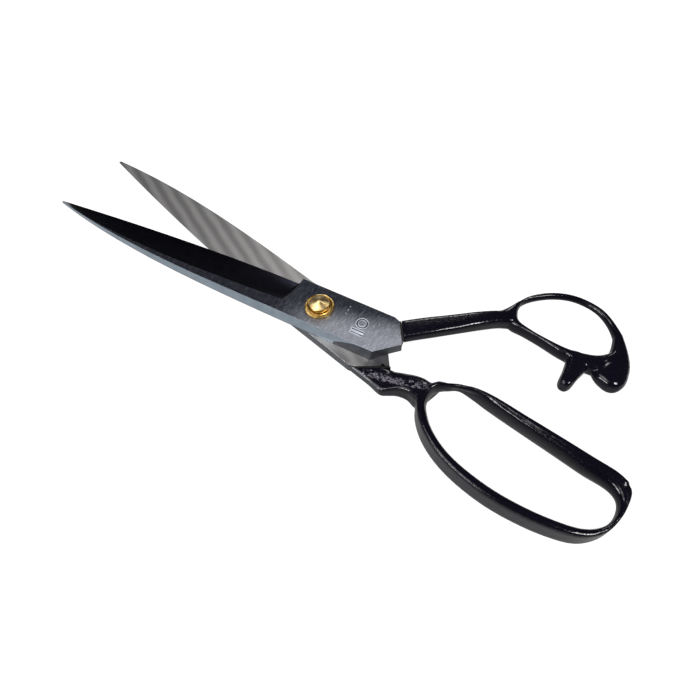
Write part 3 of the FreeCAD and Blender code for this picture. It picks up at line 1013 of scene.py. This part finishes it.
# %% Finishes for the pieces that stay as they are
def plain_metal(name, dark, light, rough):
    material, shader, coords = finish_named(name)
    cloud = coords.noise(900, 3.0)
    fine = coords.noise(5200, 2.0)
    plug(cloud.blend(dark, light), shader, "Base Color")
    shader.inputs["Metallic"].default_value = 1.0
    plug(rough + fine * 0.2, shader, "Roughness")
    bump(fine + cloud, 0.4, 0.00005, shader)
    return material


def refinish(node, material):
    """Give a carried-over piece a new finish."""
    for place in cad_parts[node].material_slots:
        place.material = material


bolt_steel = plain_metal("bolt steel", (0.30, 0.31, 0.33, 1), (0.50, 0.51, 0.53, 1), 0.25)
spring_steel = plain_metal("spring steel", (0.20, 0.20, 0.22, 1), (0.34, 0.34, 0.36, 1), 0.25)
braze = plain_metal("brazed seam", (0.02, 0.018, 0.018, 1), (0.06, 0.055, 0.05, 1), 0.4)
refinish("pivot_bolt", bolt_steel)
refinish("spring_washer", spring_steel)
refinish("thumb_braze", braze)
refinish("finger_braze", braze)
print("carried-over pieces:", [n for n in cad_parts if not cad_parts[n].hide_render])

# %% [markdown]
# ## Table and light
#
# Black enamel and bright steel are pictures of what surrounds them. A white table fills
# the steel's lower faces and the sides of the handles. It glows of itself, so that it
# stays white with hardly a shadow. A dark room above keeps the bevels and the enamel
# black. Four soft panels draw the highlights: the overhead one on rounded upper edges,
# the front one on edges cut at half a right angle, the right one on the brass nut's
# bright side, and the weak one behind on the far rims. One big soft light would be
# easier, but it would turn everything black to grey.

# %% White table
TABLE_HALF_WIDTH = 15.0   # metres
TABLE_GLOW = 0.95
def white_table():
    bm = bmesh.new()
    bmesh.ops.create_grid(bm, x_segments=1, y_segments=1, size=TABLE_HALF_WIDTH)
    mesh = bpy.data.meshes.new("table")
    bm.to_mesh(mesh)
    bm.free()
    table = bpy.data.objects.new("table", mesh)
    bpy.context.scene.collection.objects.link(table)
    material, shader, coords = finish_named("white table")
    plug(coords.noise(12).blend((0.14, 0.14, 0.14, 1), (0.17, 0.17, 0.17, 1)), shader, "Base Color")
    shader.inputs["Roughness"].default_value = 0.9
    shader.inputs["Specular IOR Level"].default_value = 0.1
    shader.inputs["Emission Color"].default_value = (1, 1, 1, 1)
    shader.inputs["Emission Strength"].default_value = TABLE_GLOW
    mesh.materials.append(material)
    print("table width in metres:", 2 * TABLE_HALF_WIDTH)


white_table()

# %% Soft panels and the dim room
PANELS = [                # name, place, width and height in metres, watts
    ("overhead panel", (-0.42, -0.45, 1.25), 0.9, 0.7, 9),
    ("front panel", (-0.35, -0.95, 0.5), 0.7, 0.3, 12),
    ("right panel", (0.75, 0.12, 1.05), 0.35, 0.35, 13),
    ("back panel", (-0.35, 0.9, 0.7), 0.4, 0.2, 2.5),
]
ROOM_COLOUR = (0.5, 0.52, 0.56, 1)
ROOM_LIGHT = 0.12


def soft_panel(name, place, width, height, watts):
    """A rectangular lamp that faces the pivot."""
    light = bpy.data.lights.new(name, "AREA")
    light.shape = "RECTANGLE"
    light.size = width
    light.size_y = height
    light.energy = watts
    lamp = bpy.data.objects.new(name, light)
    lamp.location = place
    lamp.rotation_mode = "QUATERNION"
    lamp.rotation_quaternion = (-Vector(place)).to_track_quat("-Z", "Y")
    bpy.context.scene.collection.objects.link(lamp)


for panel in PANELS:
    soft_panel(*panel)
world = bpy.data.worlds.new("dim room")
world.use_nodes = True
background = world.node_tree.nodes["Background"]
background.inputs["Color"].default_value = ROOM_COLOUR
background.inputs["Strength"].default_value = ROOM_LIGHT
bpy.context.scene.world = world
bpy.context.scene.view_settings.view_transform = "Standard"
